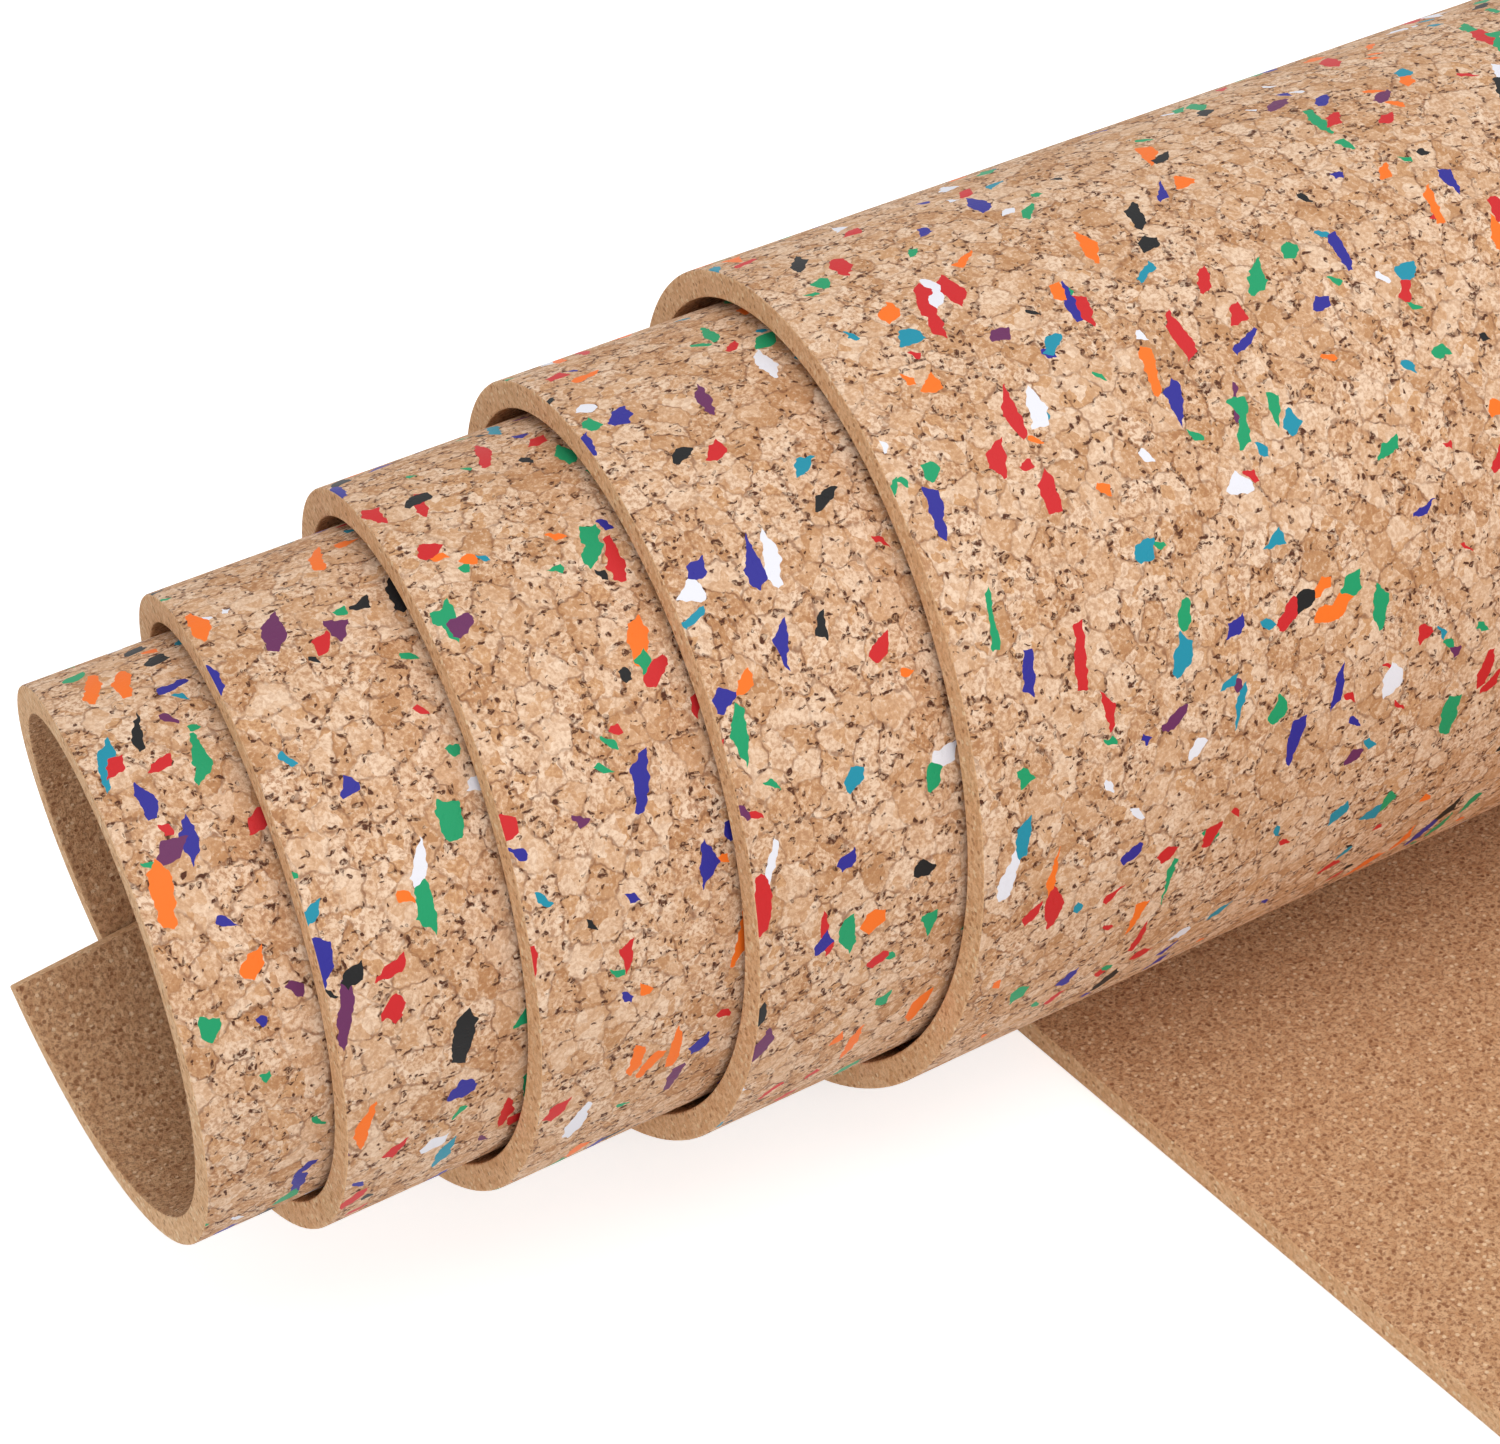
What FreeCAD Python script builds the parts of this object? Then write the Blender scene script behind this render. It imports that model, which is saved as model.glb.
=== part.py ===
import FreeCAD, Part
import Sketcher
import math
import os

Vector = FreeCAD.Vector
Vector2d = FreeCAD.Base.Vector2d

os.makedirs("parts", exist_ok=True)
doc = FreeCAD.newDocument("cork_roll")

# Driving dimensions, in millimetres and degrees
sizes = doc.addObject("Spreadsheet::Sheet", "Sizes")
DRIVING = [
    ("thickness", 5.0, "thickness of the cork sheet"),
    ("sheet_width", 1000.0, "width of the sheet, across the winding"),
    ("sheet_length", 2500.0, "cut length of the sheet, along the winding"),
    ("tail_length", 610.0, "stretch of the left edge that lies flat on the floor"),
    ("turns", 5, "full turns in the roll"),
    ("lap_angle", 57.0, "how far the sheet runs on inward past the full turns, at the left edge"),
    ("gap_below", 0.9, "clear air between one turn and the next at the bottom of the roll"),
    ("gap_above", 2.0, "the same at the top, where the inner turns sag away"),
    ("skew_angle", 5.0, "how far the sheet is rolled out of square"),
]
for row, (alias, value, meaning) in enumerate(DRIVING, start=1):
    sizes.set(f"A{row}", meaning)
    sizes.set(f"B{row}", str(value))
    sizes.setAlias(f"B{row}", alias)
doc.recompute()

thickness = sizes.thickness
skew = math.radians(sizes.skew_angle)
lap = math.radians(sizes.lap_angle)
pitch_below = thickness + sizes.gap_below
pitch_above = thickness + sizes.gap_above

# The sheet as it is cut, laid flat. Sketch X runs along the winding, from the line where the roll leaves
# the floor (0) inward, and sketch Y runs along the roll's axis. The left edge passes through the origin.
ALONG = Vector(math.cos(skew), -math.sin(skew), 0)
ACROSS = Vector(math.sin(skew), math.cos(skew), 0)
tail_left = -sizes.tail_length * ALONG
inner_left = tail_left + sizes.sheet_length * ALONG
corners = [
    tail_left,
    tail_left + sizes.sheet_width * ACROSS,
    inner_left + sizes.sheet_width * ACROSS,
    inner_left,
]
# In its constraints, point 1 of a line is its start and point 2 its end, and -1 is the sketch's X axis,
# whose point 1 is the origin.
flat_blank = doc.addObject("Sketcher::SketchObject", "flat_blank")
tail_end, right_edge, inner_end, left_edge = range(4)
for corner, following in zip(corners, corners[1:] + corners[:1]):
    flat_blank.addGeometry(Part.LineSegment(corner, following), False)
for side in (tail_end, right_edge, inner_end, left_edge):
    flat_blank.addConstraint(Sketcher.Constraint("Coincident", side, 2, (side + 1) % 4, 1))
for side in (tail_end, right_edge, inner_end):
    flat_blank.addConstraint(Sketcher.Constraint("Perpendicular", side, side + 1))
flat_blank.addConstraint(Sketcher.Constraint("PointOnObject", -1, 1, left_edge))
SIZED = [
    (Sketcher.Constraint("Distance", tail_end, sizes.sheet_width), "Sizes.sheet_width"),
    (Sketcher.Constraint("Distance", right_edge, sizes.sheet_length), "Sizes.sheet_length"),
    (Sketcher.Constraint("Distance", left_edge, 2, -1, 1, sizes.tail_length), "Sizes.tail_length"),
    (Sketcher.Constraint("Angle", -1, 1, right_edge, 1, -skew), "-Sizes.skew_angle * 1deg"),
]
for constraint, expression in SIZED:
    index = flat_blank.addConstraint(constraint)
    flat_blank.setExpression(f"Constraints[{index}]", expression)
doc.recompute()
outline = [Vector2d(line.StartPoint.x, line.StartPoint.y) for line in flat_blank.Geometry]


def clip(shape, limit, keep_above):
    """Cut a flat outline along the line where the first coordinate is limit."""
    kept = []
    sign = 1 if keep_above else -1
    for corner, following in zip(shape, shape[1:] + shape[:1]):
        inside = sign * (corner.x - limit) >= 0
        if inside:
            kept.append(corner)
        if inside != (sign * (following.x - limit) >= 0):
            share = (limit - corner.x) / (following.x - corner.x)
            kept.append(Vector2d(limit, corner.y + share * (following.y - corner.y)))
    return kept


def cut_sides(shape, joints):
    """The sides of an outline that are cut edges of the sheet, not joints between two stretches of it."""
    found = []
    for i, corner in enumerate(shape):
        following = shape[(i + 1) % len(shape)]
        if not (corner.x == following.x and corner.x in joints):
            found.append(i)
    return found


def tail_faces(shape):
    """The flat stretch: its underside, its top and its cut edges."""
    def on_level(height):
        return [Vector(corner.x, height, corner.y) for corner in shape]

    low = on_level(0)
    high = on_level(thickness)
    faces = [Part.Face(Part.makePolygon(skin + skin[:1])) for skin in (low, high)]
    for i in cut_sides(shape, joints=[0]):
        j = (i + 1) % len(shape)
        edge = [low[i], low[j], high[j], high[i]]
        faces.append(Part.Face(Part.makePolygon(edge + edge[:1])))
    return faces


def half_turn_faces(shape, start, length, start_angle, centre_height, radius):
    """One half turn of the sheet: its outer and inner skins on true cylinders, and its cut edges."""
    def wrap(corner):
        return Vector2d(start_angle + math.pi * (corner.x - start) / length, corner.y)

    wrapped = [wrap(corner) for corner in shape]
    skins = []
    faces = []
    for skin_radius in (radius, radius - thickness):
        cylinder = Part.Cylinder()
        cylinder.Center = Vector(0, centre_height, 0)
        cylinder.Radius = skin_radius
        edges = []
        for corner, following in zip(wrapped, wrapped[1:] + wrapped[:1]):
            edges.append(Part.Geom2d.Line2dSegment(corner, following).toShape(cylinder))
        skins.append(edges)
        faces.append(Part.Face(cylinder, Part.Wire(edges)))
    outer, inner = skins
    same_way = 1
    for i in cut_sides(shape, joints=[start, start + length]):
        faces.append(Part.makeRuledSurface(outer[i], inner[i], same_way))
    return faces


# The outside radius follows from the length that is wound up. Each full turn inward is smaller than the one
# before by "shrink", and the sheet ends lap_angle past the last full turn.
turns = int(sizes.turns)
shrink = (pitch_below + pitch_above) / 2
wound_length = (sizes.sheet_length - sizes.tail_length) * math.cos(skew)
wound_angle = 2 * math.pi * turns + lap
taken_in = shrink * turns * (math.pi * (turns - 1) + lap) + math.pi * turns * pitch_below / 2
outer_radius = (wound_length + taken_in) / wound_angle + thickness / 2

# Each half turn spans from its lowest to its highest point, and both lie straight above the line where the
# roll leaves the floor, so each half turn runs smoothly into the next one inward.
faces = tail_faces(clip(outline, 0, keep_above=False))
inner_reach = max(corner.x for corner in outline)
start = 0.0
number = 0
while start < inner_reach:
    turn, at_front = divmod(number, 2)
    lowest = (turn + at_front) * pitch_below
    highest = 2 * outer_radius - turn * pitch_above
    radius = (highest - lowest) / 2
    length = math.pi * (radius - thickness / 2)
    stretch = clip(clip(outline, start, keep_above=True), start + length, keep_above=False)
    start_angle = math.pi / 2 if at_front else -math.pi / 2
    centre_height = (highest + lowest) / 2
    faces += half_turn_faces(stretch, start, length, start_angle, centre_height, radius)
    start += length
    number += 1

skin = Part.Shell(faces)
skin.sewShape()
rolled = Part.Solid(skin)
if rolled.Volume < 0:
    rolled.reverse()

# The roll above has its axis upright. It is laid down along X, with the middle of the tail at the origin.
tail_middle = tail_left * 0.5 + ACROSS * (sizes.sheet_width / 2)
cork_sheet = doc.addObject("Part::Feature", "cork_sheet")
cork_sheet.Label = "cork_sheet"
cork_sheet.Shape = rolled
cork_sheet.Placement = FreeCAD.Placement(
    Vector(-tail_middle.y, -tail_middle.x, 0), FreeCAD.Rotation(Vector(1, 1, 1), 120)
)
doc.recompute()

for item in doc.Objects:
    if "Invalid" in item.State or "Error" in item.State:
        raise RuntimeError(f"{item.Label} didn't build: {item.State}")
    if hasattr(item, "Shape") and (item.Shape.isNull() or not item.Shape.isValid()):
        raise RuntimeError(f"{item.Label} has no valid shape")
print("outside diameter", round(2 * outer_radius, 2), "bore", round(2 * (radius - thickness), 2))
print("volume in litres", round(cork_sheet.Shape.Volume / 1e6, 3), cork_sheet.Shape.BoundBox)
cork_sheet.Shape.exportStep("parts/cork_sheet.step")
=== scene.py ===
# %% [markdown]
# # A cork roll in Blender
# This lesson builds one object: a long sheet of pressed cork, rolled up and lying on the floor. The roll was
# wound a little askew, so its turns step out at the left end like a shallow cone, and the loose tail of the
# sheet lies flat in front of it.

import math

import bpy
from mathutils import Matrix, Vector


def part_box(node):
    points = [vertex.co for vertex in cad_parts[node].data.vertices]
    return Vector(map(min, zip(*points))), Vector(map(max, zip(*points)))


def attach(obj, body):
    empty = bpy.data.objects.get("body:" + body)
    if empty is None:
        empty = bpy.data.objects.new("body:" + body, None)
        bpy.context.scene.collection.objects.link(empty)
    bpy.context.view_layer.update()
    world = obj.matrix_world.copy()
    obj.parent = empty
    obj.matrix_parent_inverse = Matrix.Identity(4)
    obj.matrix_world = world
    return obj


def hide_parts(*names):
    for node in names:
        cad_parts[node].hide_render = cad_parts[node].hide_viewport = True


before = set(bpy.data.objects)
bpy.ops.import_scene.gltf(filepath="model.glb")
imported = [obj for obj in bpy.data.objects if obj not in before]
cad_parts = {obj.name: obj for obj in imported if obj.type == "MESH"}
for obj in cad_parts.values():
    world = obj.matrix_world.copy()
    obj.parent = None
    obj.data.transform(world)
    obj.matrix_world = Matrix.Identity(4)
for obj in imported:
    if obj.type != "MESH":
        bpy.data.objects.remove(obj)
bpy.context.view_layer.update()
cad_low, cad_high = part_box("cork_sheet")

# %% [markdown]
# ## Sizes
# Everything follows from the sheet as it is cut and from how it is rolled. A roll lying down sags a little,
# so its turns nearly touch at the bottom and stand apart at the top. The sheet's length fixes how thick the
# roll gets, because each turn inward is smaller by a fixed step and all of them together must use up exactly
# the length that is wound. A tape measure in its case obeys the same sum.

# %% Sizes in metres and radians
thickness = 0.005
sheet_width = 1.0
sheet_length = 2.5
tail_length = 0.61
turns = 5
lap = math.radians(57)
gap_below = 0.0009
gap_above = 0.002
skew = math.radians(5)

pitch_below = thickness + gap_below
pitch_above = thickness + gap_above
shrink = (pitch_below + pitch_above) / 2
wound_length = (sheet_length - tail_length) * math.cos(skew)
wound_angle = 2 * math.pi * turns + lap
taken_in = shrink * turns * (math.pi * (turns - 1) + lap) + math.pi * turns * pitch_below / 2
outer_radius = (wound_length + taken_in) / wound_angle + thickness / 2
print(f"the roll is {outer_radius * 2000:.1f} mm across")

# %% [markdown]
# ## The flat sheet
# Cork sheet is sawn from a block, cut square and only then rolled, and the model is made in that order. A
# grid is the right primitive, because bending needs many short cells along the winding. Across it, where the
# sheet stays straight, long cells do. The grid stands on its left edge, with X along the sheet and Z across.

# %% A grid standing on its edge
bpy.ops.object.select_all(action="DESELECT")
cell_along = 0.003
cell_across = 0.04
bpy.ops.mesh.primitive_grid_add(
    x_subdivisions=round(sheet_length / cell_along),
    y_subdivisions=round(sheet_width / cell_across),
    size=1,
    location=(sheet_length / 2, 0, sheet_width / 2),
    rotation=(math.radians(90), 0, 0),
)
sheet = bpy.context.object
sheet.name = "rolled_sheet"
sheet.scale = (sheet_length, sheet_width, 1)
bpy.ops.object.transform_apply(location=True, rotation=True, scale=True)
print("the flat sheet measures", tuple(round(size, 4) for size in sheet.dimensions))

# %% [markdown]
# ## Thickness and soft edges
# Solidify gives the grid its 5 mm, half to each side, so the middle of the sheet keeps its length when it is
# bent. A knife never leaves a perfectly sharp edge on cork, because grains break away, so a narrow bevel
# rounds all the cut edges.

# %% Solidify and bevel
edge_rounding = 0.00035
solidify = sheet.modifiers.new("thickness", "SOLIDIFY")
solidify.thickness = thickness
solidify.offset = 0
bevel = sheet.modifiers.new("worn_edges", "BEVEL")
bevel.width = edge_rounding
bevel.segments = 2
bevel.limit_method = "ANGLE"
bevel.angle_limit = math.radians(60)
for modifier in (solidify, bevel):
    bpy.ops.object.modifier_apply(modifier=modifier.name)
print("faces after the bevel:", len(sheet.data.polygons))

# %% [markdown]
# ## A memory of the flat sheet
# The cork's grain was there before the sheet was rolled. So each vertex keeps its place on the flat sheet in
# an attribute of its own, as along, across and through. All the textures will be laid out in it, and they
# bend with the sheet instead of cutting through it.

# %% Flat coordinates
flat = sheet.data.attributes.new("flat", "FLOAT_VECTOR", "POINT")
for vertex, stored in zip(sheet.data.vertices, flat.data):
    stored.vector = (vertex.co.x, vertex.co.z, vertex.co.y)
print("places kept:", len(flat.data))

# %% [markdown]
# ## Three kinds of surface
# The sheet has a flecked outer face, a plain inner face and cut edges. Their faces could be picked by hand,
# but as long as the sheet is flat, the way a face looks out tells its kind, so the material slots are given
# out now.

# %% Material slots
flecked_face = bpy.data.materials.new("flecked_cork_face")
plain_face = bpy.data.materials.new("plain_cork_face")
cut_edge = bpy.data.materials.new("cut_cork_edge")
for material in (flecked_face, plain_face, cut_edge):
    sheet.data.materials.append(material)
flecked_slot, plain_slot, cut_slot = range(3)
facing = 0.7
for polygon in sheet.data.polygons:
    if polygon.normal.y < -facing:
        polygon.material_index = flecked_slot
    elif polygon.normal.y > facing:
        polygon.material_index = plain_slot
    else:
        polygon.material_index = cut_slot
kinds = [polygon.material_index for polygon in sheet.data.polygons]
print("faces of each kind:", [kinds.count(slot) for slot in (flecked_slot, plain_slot, cut_slot)])

# %% [markdown]
# ## The path of the winding
# The roll isn't one circle but a spiral that closes in. It is drawn as half turns, each from its lowest point
# to its highest, and all these points lie straight above one another, so each half turn meets the next
# without a kink. The path runs through the middle of the sheet's thickness: along the straight tail first,
# then up the back, over the top, down the front, and so on inward.

# %% The points of the path
point_step = 0.001
tail_reach = tail_length * math.cos(skew)
needed = sheet_length * math.cos(skew) + sheet_width * math.sin(skew)

points = [(-tail_reach, thickness / 2), (0, thickness / 2)]
walked = tail_reach
number = 0
while walked < needed:
    turn, at_front = divmod(number, 2)
    lowest = (turn + at_front) * pitch_below + thickness / 2
    highest = 2 * outer_radius - turn * pitch_above - thickness / 2
    radius = (highest - lowest) / 2
    start_angle = math.pi / 2 if at_front else -math.pi / 2
    steps = round(math.pi * radius / point_step)
    for i in range(1, steps + 1):
        angle = start_angle + math.pi * i / steps
        points.append((radius * math.cos(angle), (highest + lowest) / 2 + radius * math.sin(angle)))
    walked += math.pi * radius
    number += 1
print("half turns:", number, "path points:", len(points))

# %% A curve through the sheet's middle
path_data = bpy.data.curves.new("winding_path", "CURVE")
path_data.dimensions = "2D"
spline = path_data.splines.new("POLY")
spline.points.add(len(points) - 1)
for curve_point, (x, y) in zip(spline.points, points):
    curve_point.co = (x, y, 0, 1)
path = bpy.data.objects.new("winding_path", path_data)
bpy.context.scene.collection.objects.link(path)
print(f"the path is {spline.calc_length():.3f} m long")

# %% [markdown]
# ## A slight wandering
# Nobody winds at one exact angle: in the photo some turns step out more than others. So the wound part of the
# sheet wanders a few millimetres sideways, as three gentle waves added up: half a wave, a whole one, and one
# and a half. All of them start and end at zero, so the tail and the inner end stay where they are.

# %% Three waves
sideways = (-0.0072, 0.0019, -0.0017)
wound = sheet_length - tail_length


def wandering(share):
    """How far the sheet lies to the side where this share of the winding is done."""
    return sum(
        height * math.sin(math.pi * half_waves * share)
        for half_waves, height in enumerate(sideways, start=1)
    )


for vertex in sheet.data.vertices:
    share = (vertex.co.x - tail_length) / wound
    if share > 0:
        vertex.co.z += wandering(share)
print(f"halfway in, the sheet lies {wandering(0.5) * 1000:.1f} mm to the side")

# %% [markdown]
# ## Rolling it up
# The sheet is turned askew on the floor, by the same few degrees as the real one, and the Curve modifier
# carries every vertex along the path. Because of the skew, each turn lands a little further along the axis
# than the one outside it, and that alone makes the stepped cone at the end of the roll.

# %% The Curve modifier
sheet.rotation_euler = (0, skew, 0)
sheet.location = (0, 0, tail_length * math.sin(skew))
bpy.ops.object.select_all(action="DESELECT")
sheet.select_set(True)
bpy.context.view_layer.objects.active = sheet
bpy.ops.object.transform_apply(location=True, rotation=True, scale=True)

rolling = sheet.modifiers.new("rolling", "CURVE")
rolling.object = path
rolling.deform_axis = "POS_X"
bpy.ops.object.modifier_apply(modifier=rolling.name)
bpy.data.objects.remove(path)
print("rolled, it measures", tuple(round(size, 4) for size in sheet.dimensions))

# %% [markdown]
# ## Laying it down
# So far the roll stands on its end. Two quarter turns lay its axis along X, and a shift brings the middle of
# the tail to the origin. Applying the transform leaves the object itself unturned, its place in the mesh.

# %% Down on the floor
middle_along = -tail_reach / 2 + sheet_width / 2 * math.sin(skew)
middle_across = tail_length * math.sin(skew) / 2 + sheet_width / 2 * math.cos(skew)
sheet.rotation_euler = (math.radians(90), 0, math.radians(90))
sheet.location = (-middle_across, -middle_along, 0)
bpy.ops.object.transform_apply(location=True, rotation=True, scale=True)
bpy.ops.object.shade_smooth_by_angle(angle=math.radians(15))

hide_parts("cork_sheet")
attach(sheet, "root")
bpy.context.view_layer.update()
print("the solid reaches", tuple(cad_low), tuple(cad_high))

# %% [markdown]
# ## Colours
# A picture could be wrapped around the roll, but it would blur up close and repeat, so the three materials
# are computed. Their colours are written as the bytes that a screen shows, because those can be compared with
# a photo. Blender computes with linear light, so each one is converted.


# %% Screen colours and ramps of them
def linear(colour):
    """An sRGB colour in bytes as the linear colour Blender computes with."""
    shares = [channel / 255 for channel in colour]
    return (*[s / 12.92 if s <= 0.04045 else ((s + 0.055) / 1.055) ** 2.4 for s in shares], 1.0)


def fill_ramp(ramp, stops, interpolation):
    """Put (position, colour) stops into a colour ramp."""
    ramp.interpolation = interpolation
    while len(ramp.elements) > 1:
        ramp.elements.remove(ramp.elements[-1])
    for i, (position, colour) in enumerate(stops):
        element = ramp.elements[0] if i == 0 else ramp.elements.new(position)
        element.position = position
        element.color = linear(colour)


print("mid grey on a screen is", round(linear((128, 128, 128))[0], 3), "in linear light")

# %% [markdown]
# ## A way to write shaders
# A material here is a long sum of textures. Wiring Math nodes one by one hides the idea, so a small class
# stands for one node output, and plain arithmetic on it adds the nodes. One method adds any other node. A
# signal without an output stands for a tree that is still empty.


# %% Arithmetic on node outputs
class Signal:
    """One output of a shader node. Arithmetic on it adds Math nodes to the same tree."""

    def __init__(self, tree, output=None):
        self.tree = tree
        self.output = output

    def node(self, kind, inputs, out=0, stops=(), interpolation="LINEAR", **settings):
        """Add any node: its settings or a ramp's stops first, then the values or links of its sockets."""
        node = self.tree.nodes.new(kind)
        for name, value in settings.items():
            setattr(node, name, value)
        if stops:
            fill_ramp(node.color_ramp, stops, interpolation)
        for key, value in inputs.items():
            if isinstance(value, Signal):
                self.tree.links.new(value.output, node.inputs[key])
            else:
                node.inputs[key].default_value = value
        return Signal(self.tree, node.outputs[out] if node.outputs else None)

    def neighbour(self, out):
        """Another output of the same node."""
        return Signal(self.tree, self.output.node.outputs[out])

    def maths(self, operation, first, second):
        """A Math node with two values."""
        return self.node("ShaderNodeMath", {0: first, 1: second}, operation=operation)

    def __add__(self, other):
        return self.maths("ADD", self, other)

    def __radd__(self, other):
        return self.maths("ADD", other, self)

    def __sub__(self, other):
        return self.maths("SUBTRACT", self, other)

    def __rsub__(self, other):
        return self.maths("SUBTRACT", other, self)

    def __mul__(self, other):
        return self.maths("MULTIPLY", self, other)

    def __rmul__(self, other):
        return self.maths("MULTIPLY", other, self)

    def __truediv__(self, other):
        return self.maths("DIVIDE", self, other)

    def __rtruediv__(self, other):
        return self.maths("DIVIDE", other, self)

    def __gt__(self, other):
        return self.maths("GREATER_THAN", self, other)

    def __lt__(self, other):
        return self.maths("LESS_THAN", self, other)

    def larger(self, other):
        return self.maths("MAXIMUM", self, other)

    def ramp(self, low, high, start=0.0, end=1.0):
        """Smoothly from start to end while the signal goes from low to high."""
        return self.node(
            "ShaderNodeMapRange",
            {"Value": self, "From Min": low, "From Max": high, "To Min": start, "To Max": end},
            interpolation_type="SMOOTHSTEP",
        )

    def part(self, axis):
        """One axis of a vector signal, or one channel of a colour."""
        return self.node("ShaderNodeSeparateXYZ", {0: self}, out=axis)

    def colours(self, stops, interpolation="LINEAR"):
        """The colour at this position of a ramp with (position, colour) stops."""
        return self.node("ShaderNodeValToRGB", {0: self}, stops=stops, interpolation=interpolation)

    def blend(self, first, second):
        """Colour first where the signal is 0 and second where it is 1."""
        first_socket, second_socket, colour_result = 6, 7, 2
        return self.node(
            "ShaderNodeMix",
            {0: self, first_socket: first, second_socket: second},
            out=colour_result,
            data_type="RGBA",
        )


def empty_tree(owner):
    """A material's or a world's node tree, emptied, as a signal to start from."""
    owner.use_nodes = True
    owner.node_tree.nodes.clear()
    return Signal(owner.node_tree)


print("signals can be", ", ".join(name for name in vars(Signal) if not name.startswith("_")))

# %% [markdown]
# ## Places on the flat sheet
# Every texture is drawn at a place. A place starts as the flat coordinates that the vertices remember, now in
# millimetres, so that the sizes of granules and chips can be written down as they are measured. Turning or
# squeezing a place turns or stretches what is drawn there.


# %% Turning and squeezing
def vector_maths(operation, first, second):
    """A Vector Math node with two vectors."""
    return first.node("ShaderNodeVectorMath", {0: first, 1: second}, operation=operation)


def flat_millimetres(material):
    """Start a material and return the flat sheet's coordinates in millimetres."""
    metres = empty_tree(material).node("ShaderNodeAttribute", {}, out="Vector", attribute_name="flat")
    return vector_maths("MULTIPLY", metres, (1000, 1000, 1000))


def turned(place, angle):
    """A place turned in the plane of the sheet."""
    return place.node("ShaderNodeVectorRotate", {"Vector": place, "Angle": angle}, rotation_type="Z_AXIS")


def laid_along(place, angle, stretch):
    """A place where what is drawn comes out turned and this many times longer than wide."""
    return vector_maths("MULTIPLY", turned(place, angle), (1 / stretch, 1, 1))


place = flat_millimetres(flecked_face)
print("the flecked face starts with", len(place.tree.nodes), "nodes")

# %% [markdown]
# ## Noise and cells
# Two textures are enough for cork. Noise gives fibres and uneven outlines. Voronoi cells give what is made of
# pieces: granules, specks and chips. A cell also has a random colour, whose channels serve as its lots.


# %% The two textures
def noise(place, size, detail=2.0, roughness=0.5, out=0, dimensions="2D"):
    """Noise with bumps of about this size."""
    return place.node(
        "ShaderNodeTexNoise",
        {"Vector": place, "Scale": 1 / size, "Detail": detail, "Roughness": roughness},
        out=out,
        noise_dimensions=dimensions,
    )


def cells(place, size, dimensions="2D"):
    """Cells of about this size: the distance to a cell's middle, and its random colour."""
    distance = place.node(
        "ShaderNodeTexVoronoi", {"Vector": place, "Scale": 1 / size}, voronoi_dimensions=dimensions
    )
    return distance * size, distance.neighbour("Color")


def borders(place, size):
    """The distance to the border of the same cells."""
    distance = place.node(
        "ShaderNodeTexVoronoi",
        {"Vector": place, "Scale": 1 / size},
        feature="DISTANCE_TO_EDGE",
        voronoi_dimensions="2D",
    )
    return distance * size


def ragged(place, size, amount, detail=2.0):
    """The same place pushed about by noise, so that what is drawn there gets uneven outlines."""
    push = vector_maths("SUBTRACT", noise(place, size, detail=detail, out="Color"), (0.5, 0.5, 0.5))
    return vector_maths("ADD", place, vector_maths("MULTIPLY", push, (amount, amount, amount)))


uneven = ragged(place, size=2.2, amount=2.0)
print("with uneven outlines it has", len(place.tree.nodes), "nodes")

# %% [markdown]
# ## Granules
# The outer face is light, coarse cork: granules of about 5 mm, each made of smaller fragments, some darker
# and some lighter. They could be modelled, but there are a hundred thousand of them and they lie flush. So
# two sizes of cells give the tones, and fine fibres run through each fragment in a direction of its own.

# %% Tones and fibres
granule_size = 5.2
fragment_size = 1.9
granule_weight = 0.55
fibre_size = 0.8
fibre_squeeze = (1, 0.75, 1)
full_turn = 6.3
brown_fibre = linear((168, 116, 78))
pale_fibre = linear((250, 226, 202))
GRANULE_TONES = [
    (0.12, (190, 140, 96)),
    (0.32, (211, 166, 126)),
    (0.5, (222, 183, 148)),
    (0.7, (236, 205, 176)),
    (0.86, (208, 160, 116)),
]

granule = cells(uneven, granule_size)[1]
fragment = cells(uneven, fragment_size)[1]
tone = granule.part(0) * granule_weight + fragment.part(0) * (1 - granule_weight)
along_fibres = vector_maths("MULTIPLY", turned(place, fragment.part(1) * full_turn), fibre_squeeze)
fibres = noise(along_fibres, fibre_size, detail=3.0, roughness=0.65)
coarse = granule.part(2) * 0.7 + 0.45

base = tone.colours(GRANULE_TONES)
base = (fibres.ramp(0.36, 0.56, 0.7, 0.0) * coarse).blend(base, brown_fibre)
base = fibres.ramp(0.54, 0.7, 0.0, 0.4).blend(base, pale_fibre)
print("with its granules it has", len(place.tree.nodes), "nodes")

# %% [markdown]
# ## Seams
# Pressed granules don't close up everywhere, and the seams between them show as short brown cracks. A crack
# along every border would look like dried mud, so a slow noise lets most of them fade.

# %% Cracks between granules
crack_brown = linear((120, 72, 44))
patch_size = 3.5
border = borders(uneven, granule_size)
patchy = noise(place, patch_size, detail=1.0)
crack = border.ramp(0.08, 0.35, 1.0, 0.0) * patchy.ramp(0.4, 0.58, 0.25, 0.6)
base = crack.blend(base, crack_brown)
print("with its seams it has", len(place.tree.nodes), "nodes")

# %% [markdown]
# ## Specks
# Cork is full of lenticels, the bark's breathing pores. Where they are cut they show as dark brown dots and
# short dashes, mostly at the rim of a granule. Each one here is the middle of a stretched cell, kept or left
# out by lot. They crowd together in patches and in coarse granules, and fibres break them up.

# %% Dark dots and dashes
speck_brown = linear((82, 42, 22))


def specks(place, angle, stretch, spacing, size, chance):
    """1 in the middle of a speck, falling to 0 at its outline. The size is the largest speck's radius."""
    distance, lot = cells(laid_along(place, angle, stretch), spacing)
    radius = lot.part(0) * (size * 0.7) + size * 0.3
    return (distance / radius).ramp(0.55, 1.0, 1.0, 0.0) * (lot.part(1) < chance)


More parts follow.
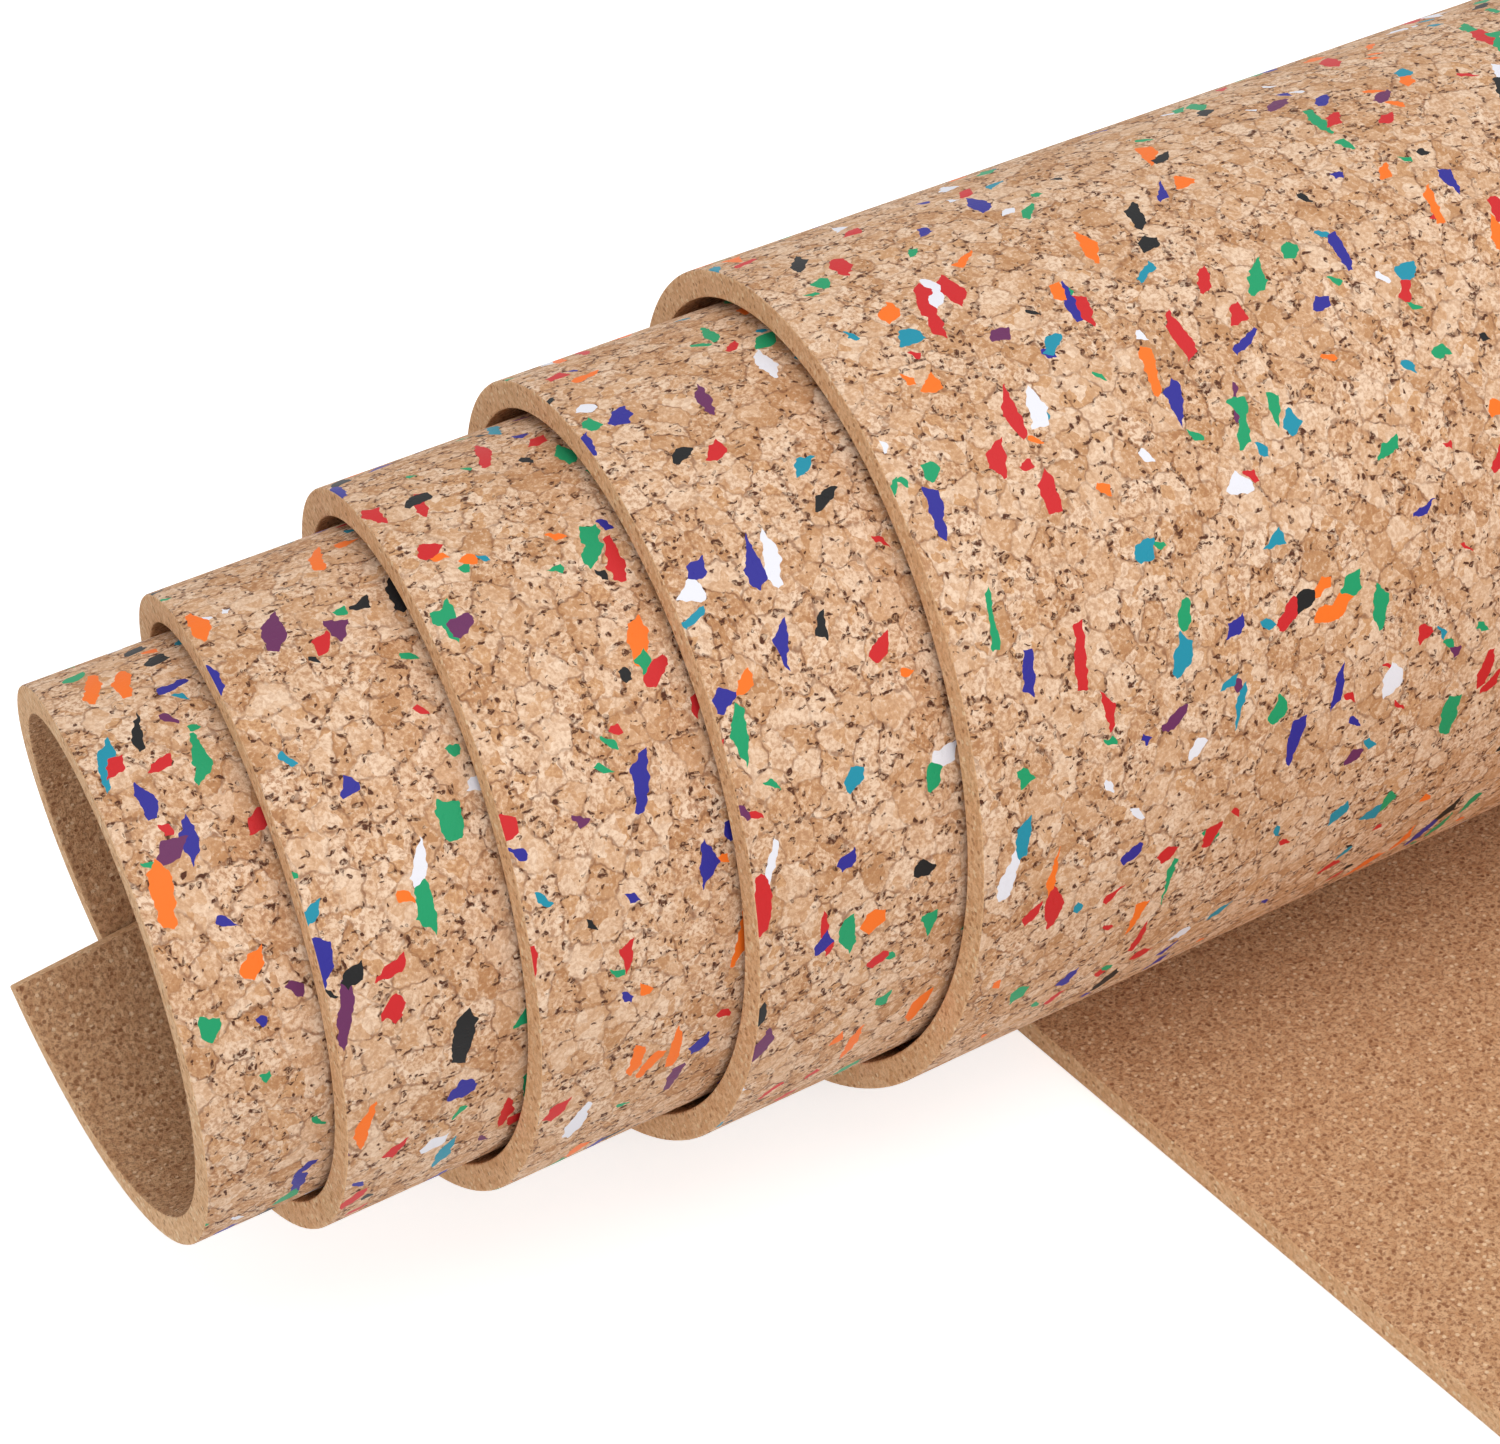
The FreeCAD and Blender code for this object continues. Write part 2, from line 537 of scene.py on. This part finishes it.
crowd = patchy.ramp(0.36, 0.64, 0.1, 1.1) * border.ramp(0.3, 1.5, 1.0, 0.4) * coarse
dots = specks(uneven, angle=0.3, stretch=1.3, spacing=1.4, size=0.5, chance=crowd)
dashes = specks(uneven, angle=1.5, stretch=3.0, spacing=1.3, size=0.4, chance=crowd)
pits = dots.larger(dashes)
base = (pits * fibres.ramp(0.46, 0.6, 1.0, 0.35)).blend(base, speck_brown)
print("with its specks it has", len(place.tree.nodes), "nodes")

# %% [markdown]
# ## Coloured chips
# Sharp chips are pressed into the outer face, most of them lying along the sheet. A chip is a stretched cell
# that was drawn by lot, so chips have straight broken sides and sometimes touch. Two layers of them, turned
# against each other, keep the lot from looking like a pattern, and a third one adds crumbs.

# %% Chips and crumbs
CHIP_COLOURS = [
    (0.0, (18, 152, 100)),
    (0.21, (202, 32, 36)),
    (0.39, (246, 116, 28)),
    (0.54, (42, 38, 142)),
    (0.69, (22, 140, 164)),
    (0.78, (102, 40, 88)),
    (0.82, (8, 8, 10)),
    (0.92, (232, 232, 240)),
]


def chips(place, angle, stretch, size, chance):
    """One layer of chips: 1 where a chip lies, and its colour."""
    lot = cells(laid_along(place, angle, stretch), size)[1]
    return lot.part(0) < chance, lot.part(1).colours(CHIP_COLOURS, "CONSTANT")


torn = ragged(place, size=1.8, amount=1.1, detail=1.0)
crumb, crumb_colour = chips(torn, angle=2.3, stretch=1.7, size=1.3, chance=0.012)
long_chip, long_colour = chips(torn, angle=0.2, stretch=2.7, size=2.5, chance=0.045)
short_chip, short_colour = chips(torn, angle=0.9, stretch=1.5, size=2.5, chance=0.032)
colour = crumb.blend(base, crumb_colour)
colour = long_chip.blend(colour, long_colour)
colour = short_chip.blend(colour, short_colour)
chip = long_chip.larger(short_chip).larger(crumb)
print("with its chips it has", len(place.tree.nodes), "nodes")

# %% [markdown]
# ## From signals to a surface
# The sheet is matt, with a fine relief that is far too small to model, so a Bump node only tilts the light
# on it. Specks are pits in that relief. The chips are harder than cork: a little smoother, and nearly flat.


# %% The shader of cork
def finish_surface(place, colour, roughness, height, strength=1.0):
    """Wire a colour, a roughness and a height in millimetres into a Principled shader."""
    millimetre = 0.001
    gloss = 0.3
    bumped = place.node("ShaderNodeBump", {"Height": height, "Distance": millimetre, "Strength": strength})
    shaded = place.node(
        "ShaderNodeBsdfPrincipled",
        {"Base Color": colour, "Roughness": roughness, "Normal": bumped, "Specular IOR Level": gloss},
    )
    place.node("ShaderNodeOutputMaterial", {"Surface": shaded})


relief_size = 0.6
relief_height = 0.14
pit_depth = 0.2
cork_roughness = 0.75
chip_roughness = 0.55
roughness = cork_roughness - chip * (cork_roughness - chip_roughness)
relief = noise(place, relief_size, detail=2.0, roughness=0.6) * relief_height - pits * pit_depth
finish_surface(place, colour, roughness, height=relief, strength=1 - chip * 0.8)
print("the flecked face is done, with", len(place.tree.nodes), "nodes")

# %% [markdown]
# ## The plain face and the cut edges
# The inner face was pressed against a plate and is fine and brown. The cut edges show the inside of the
# sheet: the same fine grain, lighter and more orange, because the knife has just opened the granules. Part
# of that lightness is painted light: the tones are raised further to make up for the weaker lamp light on
# the rims. The edge runs through the sheet's thickness, so its grain has to be solid, while the face does
# with a flat one.


# %% Fine cork
grain_size = 1.0
mottle_size = 0.8
light_share = 0.08
dark_share = 0.1


def fine_surface(material, tones, dark, light, contrast, dimensions):
    """Fine granules in these tones, mottled by a dark colour, with single dark and light grains."""
    place = flat_millimetres(material)
    distance, lot = cells(place, grain_size, dimensions)
    fine = noise(place, mottle_size, detail=3.0, roughness=0.7, dimensions=dimensions)
    base = lot.part(0).colours(tones)
    base = (fine.ramp(0.3, 0.58, 1.0, 0.0) * contrast).blend(base, linear(dark))
    grain = distance.ramp(0.25, 0.5, 1.0, 0.0)
    base = (grain * (lot.part(1) > 1 - light_share) * 0.7).blend(base, linear(light))
    base = (grain * (lot.part(1) < dark_share) * 0.8).blend(base, linear(dark))
    finish_surface(place, base, roughness=0.85, height=fine * 0.4 + distance * 0.1)


fine_surface(
    plain_face,
    tones=[(0.0, (200, 150, 108)), (0.5, (214, 167, 125)), (1.0, (228, 184, 142))],
    dark=(140, 90, 58),
    light=(248, 216, 178),
    contrast=0.74,
    dimensions="2D",
)
# Painted light: the cut edge's tones are lighter than cut cork, to make up for the weaker lamp light on the
# rims.
fine_surface(
    cut_edge,
    tones=[(0.0, (226, 176, 128)), (0.5, (238, 192, 146)), (1.0, (246, 206, 162))],
    dark=(178, 126, 84),
    light=(252, 228, 190),
    contrast=0.55,
    dimensions="3D",
)
print("materials:", [slot.name for slot in sheet.material_slots])

# %% [markdown]
# ## Floor and background
# The photo was taken on seamless white. A white floor alone would turn grey towards the back, and a white
# world alone would be too strong a light. So both look at the kind of ray: the camera sees them as white,
# while the sheet gets only a plain, weaker light from them, and the floor still shows the roll's shadow.


# %% Which rays show the background
def seen_directly(start):
    """1 for rays that show the background: from the camera, and by mirror or glass."""
    camera_ray = start.node("ShaderNodeLightPath", {}, out="Is Camera Ray")
    mirror_ray = camera_ray.neighbour("Is Glossy Ray")
    glass_ray = camera_ray.neighbour("Is Transmission Ray")
    return camera_ray.larger(mirror_ray).larger(glass_ray)


def grey(level):
    """A neutral colour, as a share of white."""
    return (level, level, level, 1)


ambient = 0.6
print("the world gives the camera", grey(1), "and the sheet", grey(ambient))

# %% A white floor
bpy.ops.mesh.primitive_plane_add(size=8, location=(0, 0, 0))
floor = bpy.context.object
floor.name = "floor"
floor_material = bpy.data.materials.new("pale_floor")
floor.data.materials.append(floor_material)
floor_start = empty_tree(floor_material)
paper = floor_start.node(
    "ShaderNodeBsdfPrincipled",
    {
        "Base Color": grey(0.8),
        "Roughness": 1.0,
        "Specular IOR Level": 0.0,
        "Emission Color": seen_directly(floor_start).blend(grey(0), grey(0.6)),
        "Emission Strength": 1.0,
    },
)
floor_start.node("ShaderNodeOutputMaterial", {"Surface": paper})
print("the floor measures", tuple(floor.dimensions))

# %% A white world
world = bpy.data.worlds.new("studio")
bpy.context.scene.world = world
world_start = empty_tree(world)
sky_strength = seen_directly(world_start) * (1 - ambient) + ambient
sky = world_start.node("ShaderNodeBackground", {"Color": grey(1), "Strength": sky_strength})
world_start.node("ShaderNodeOutputWorld", {"Surface": sky})
print("the world has", len(world.node_tree.nodes), "nodes")

# %% [markdown]
# ## Two soft lamps
# The world's light comes evenly from all sides and would leave the roll flat. In the photo the light falls
# softly from above and from the front, so one wide lamp hangs above the roll and one stands before it. Wide
# lamps give soft shading without a sharp shadow.


# %% Lamps
def soft_lamp(name, place, aim, size, power):
    """A round area lamp that faces a point. The size is in metres and the power in watts."""
    bpy.ops.object.light_add(type="AREA", location=place)
    lamp = bpy.context.object
    lamp.name = name
    lamp.data.shape = "DISK"
    lamp.data.size = size
    lamp.data.energy = power
    lamp.rotation_euler = (Vector(aim) - lamp.location).to_track_quat("-Z", "Y").to_euler()
    print(name, "gives", power, "watts from", place)


soft_lamp("front_lamp", place=(-0.9, -1.6, 1.2), aim=(-0.3, 0.1, 0.05), size=1.4, power=12.5)
soft_lamp("top_lamp", place=(-0.3, -0.25, 1.7), aim=(-0.2, 0.1, 0), size=1.4, power=11)

# %% [markdown]
# ## The camera
# The photo looks down on the stepped end from close by, so nearer turns look clearly larger. Its place was
# found by measuring the rims in the photo: their widths give the distance, and the slant of the roll's
# silhouette gives the turn. The photo was also taken a little out of level.

# %% Camera
camera_place = (-0.7676, -0.1382, 0.4193)
yaw = math.radians(62.4)
pitch_down = math.radians(37.64)
roll = math.radians(-4.52)
bpy.ops.object.camera_add()
camera = bpy.context.object
bpy.context.scene.camera = camera
camera.matrix_world = (
    Matrix.Translation(camera_place)
    @ Matrix.Rotation(yaw - math.pi / 2, 4, "Z")
    @ Matrix.Rotation(math.pi / 2 - pitch_down, 4, "X")
    @ Matrix.Rotation(roll, 4, "Z")
)
camera.data.sensor_width = 36
camera.data.lens = 77.2
camera.data.clip_start = 0.01
bpy.context.scene.view_settings.view_transform = "Standard"
print("camera at", tuple(camera.location))
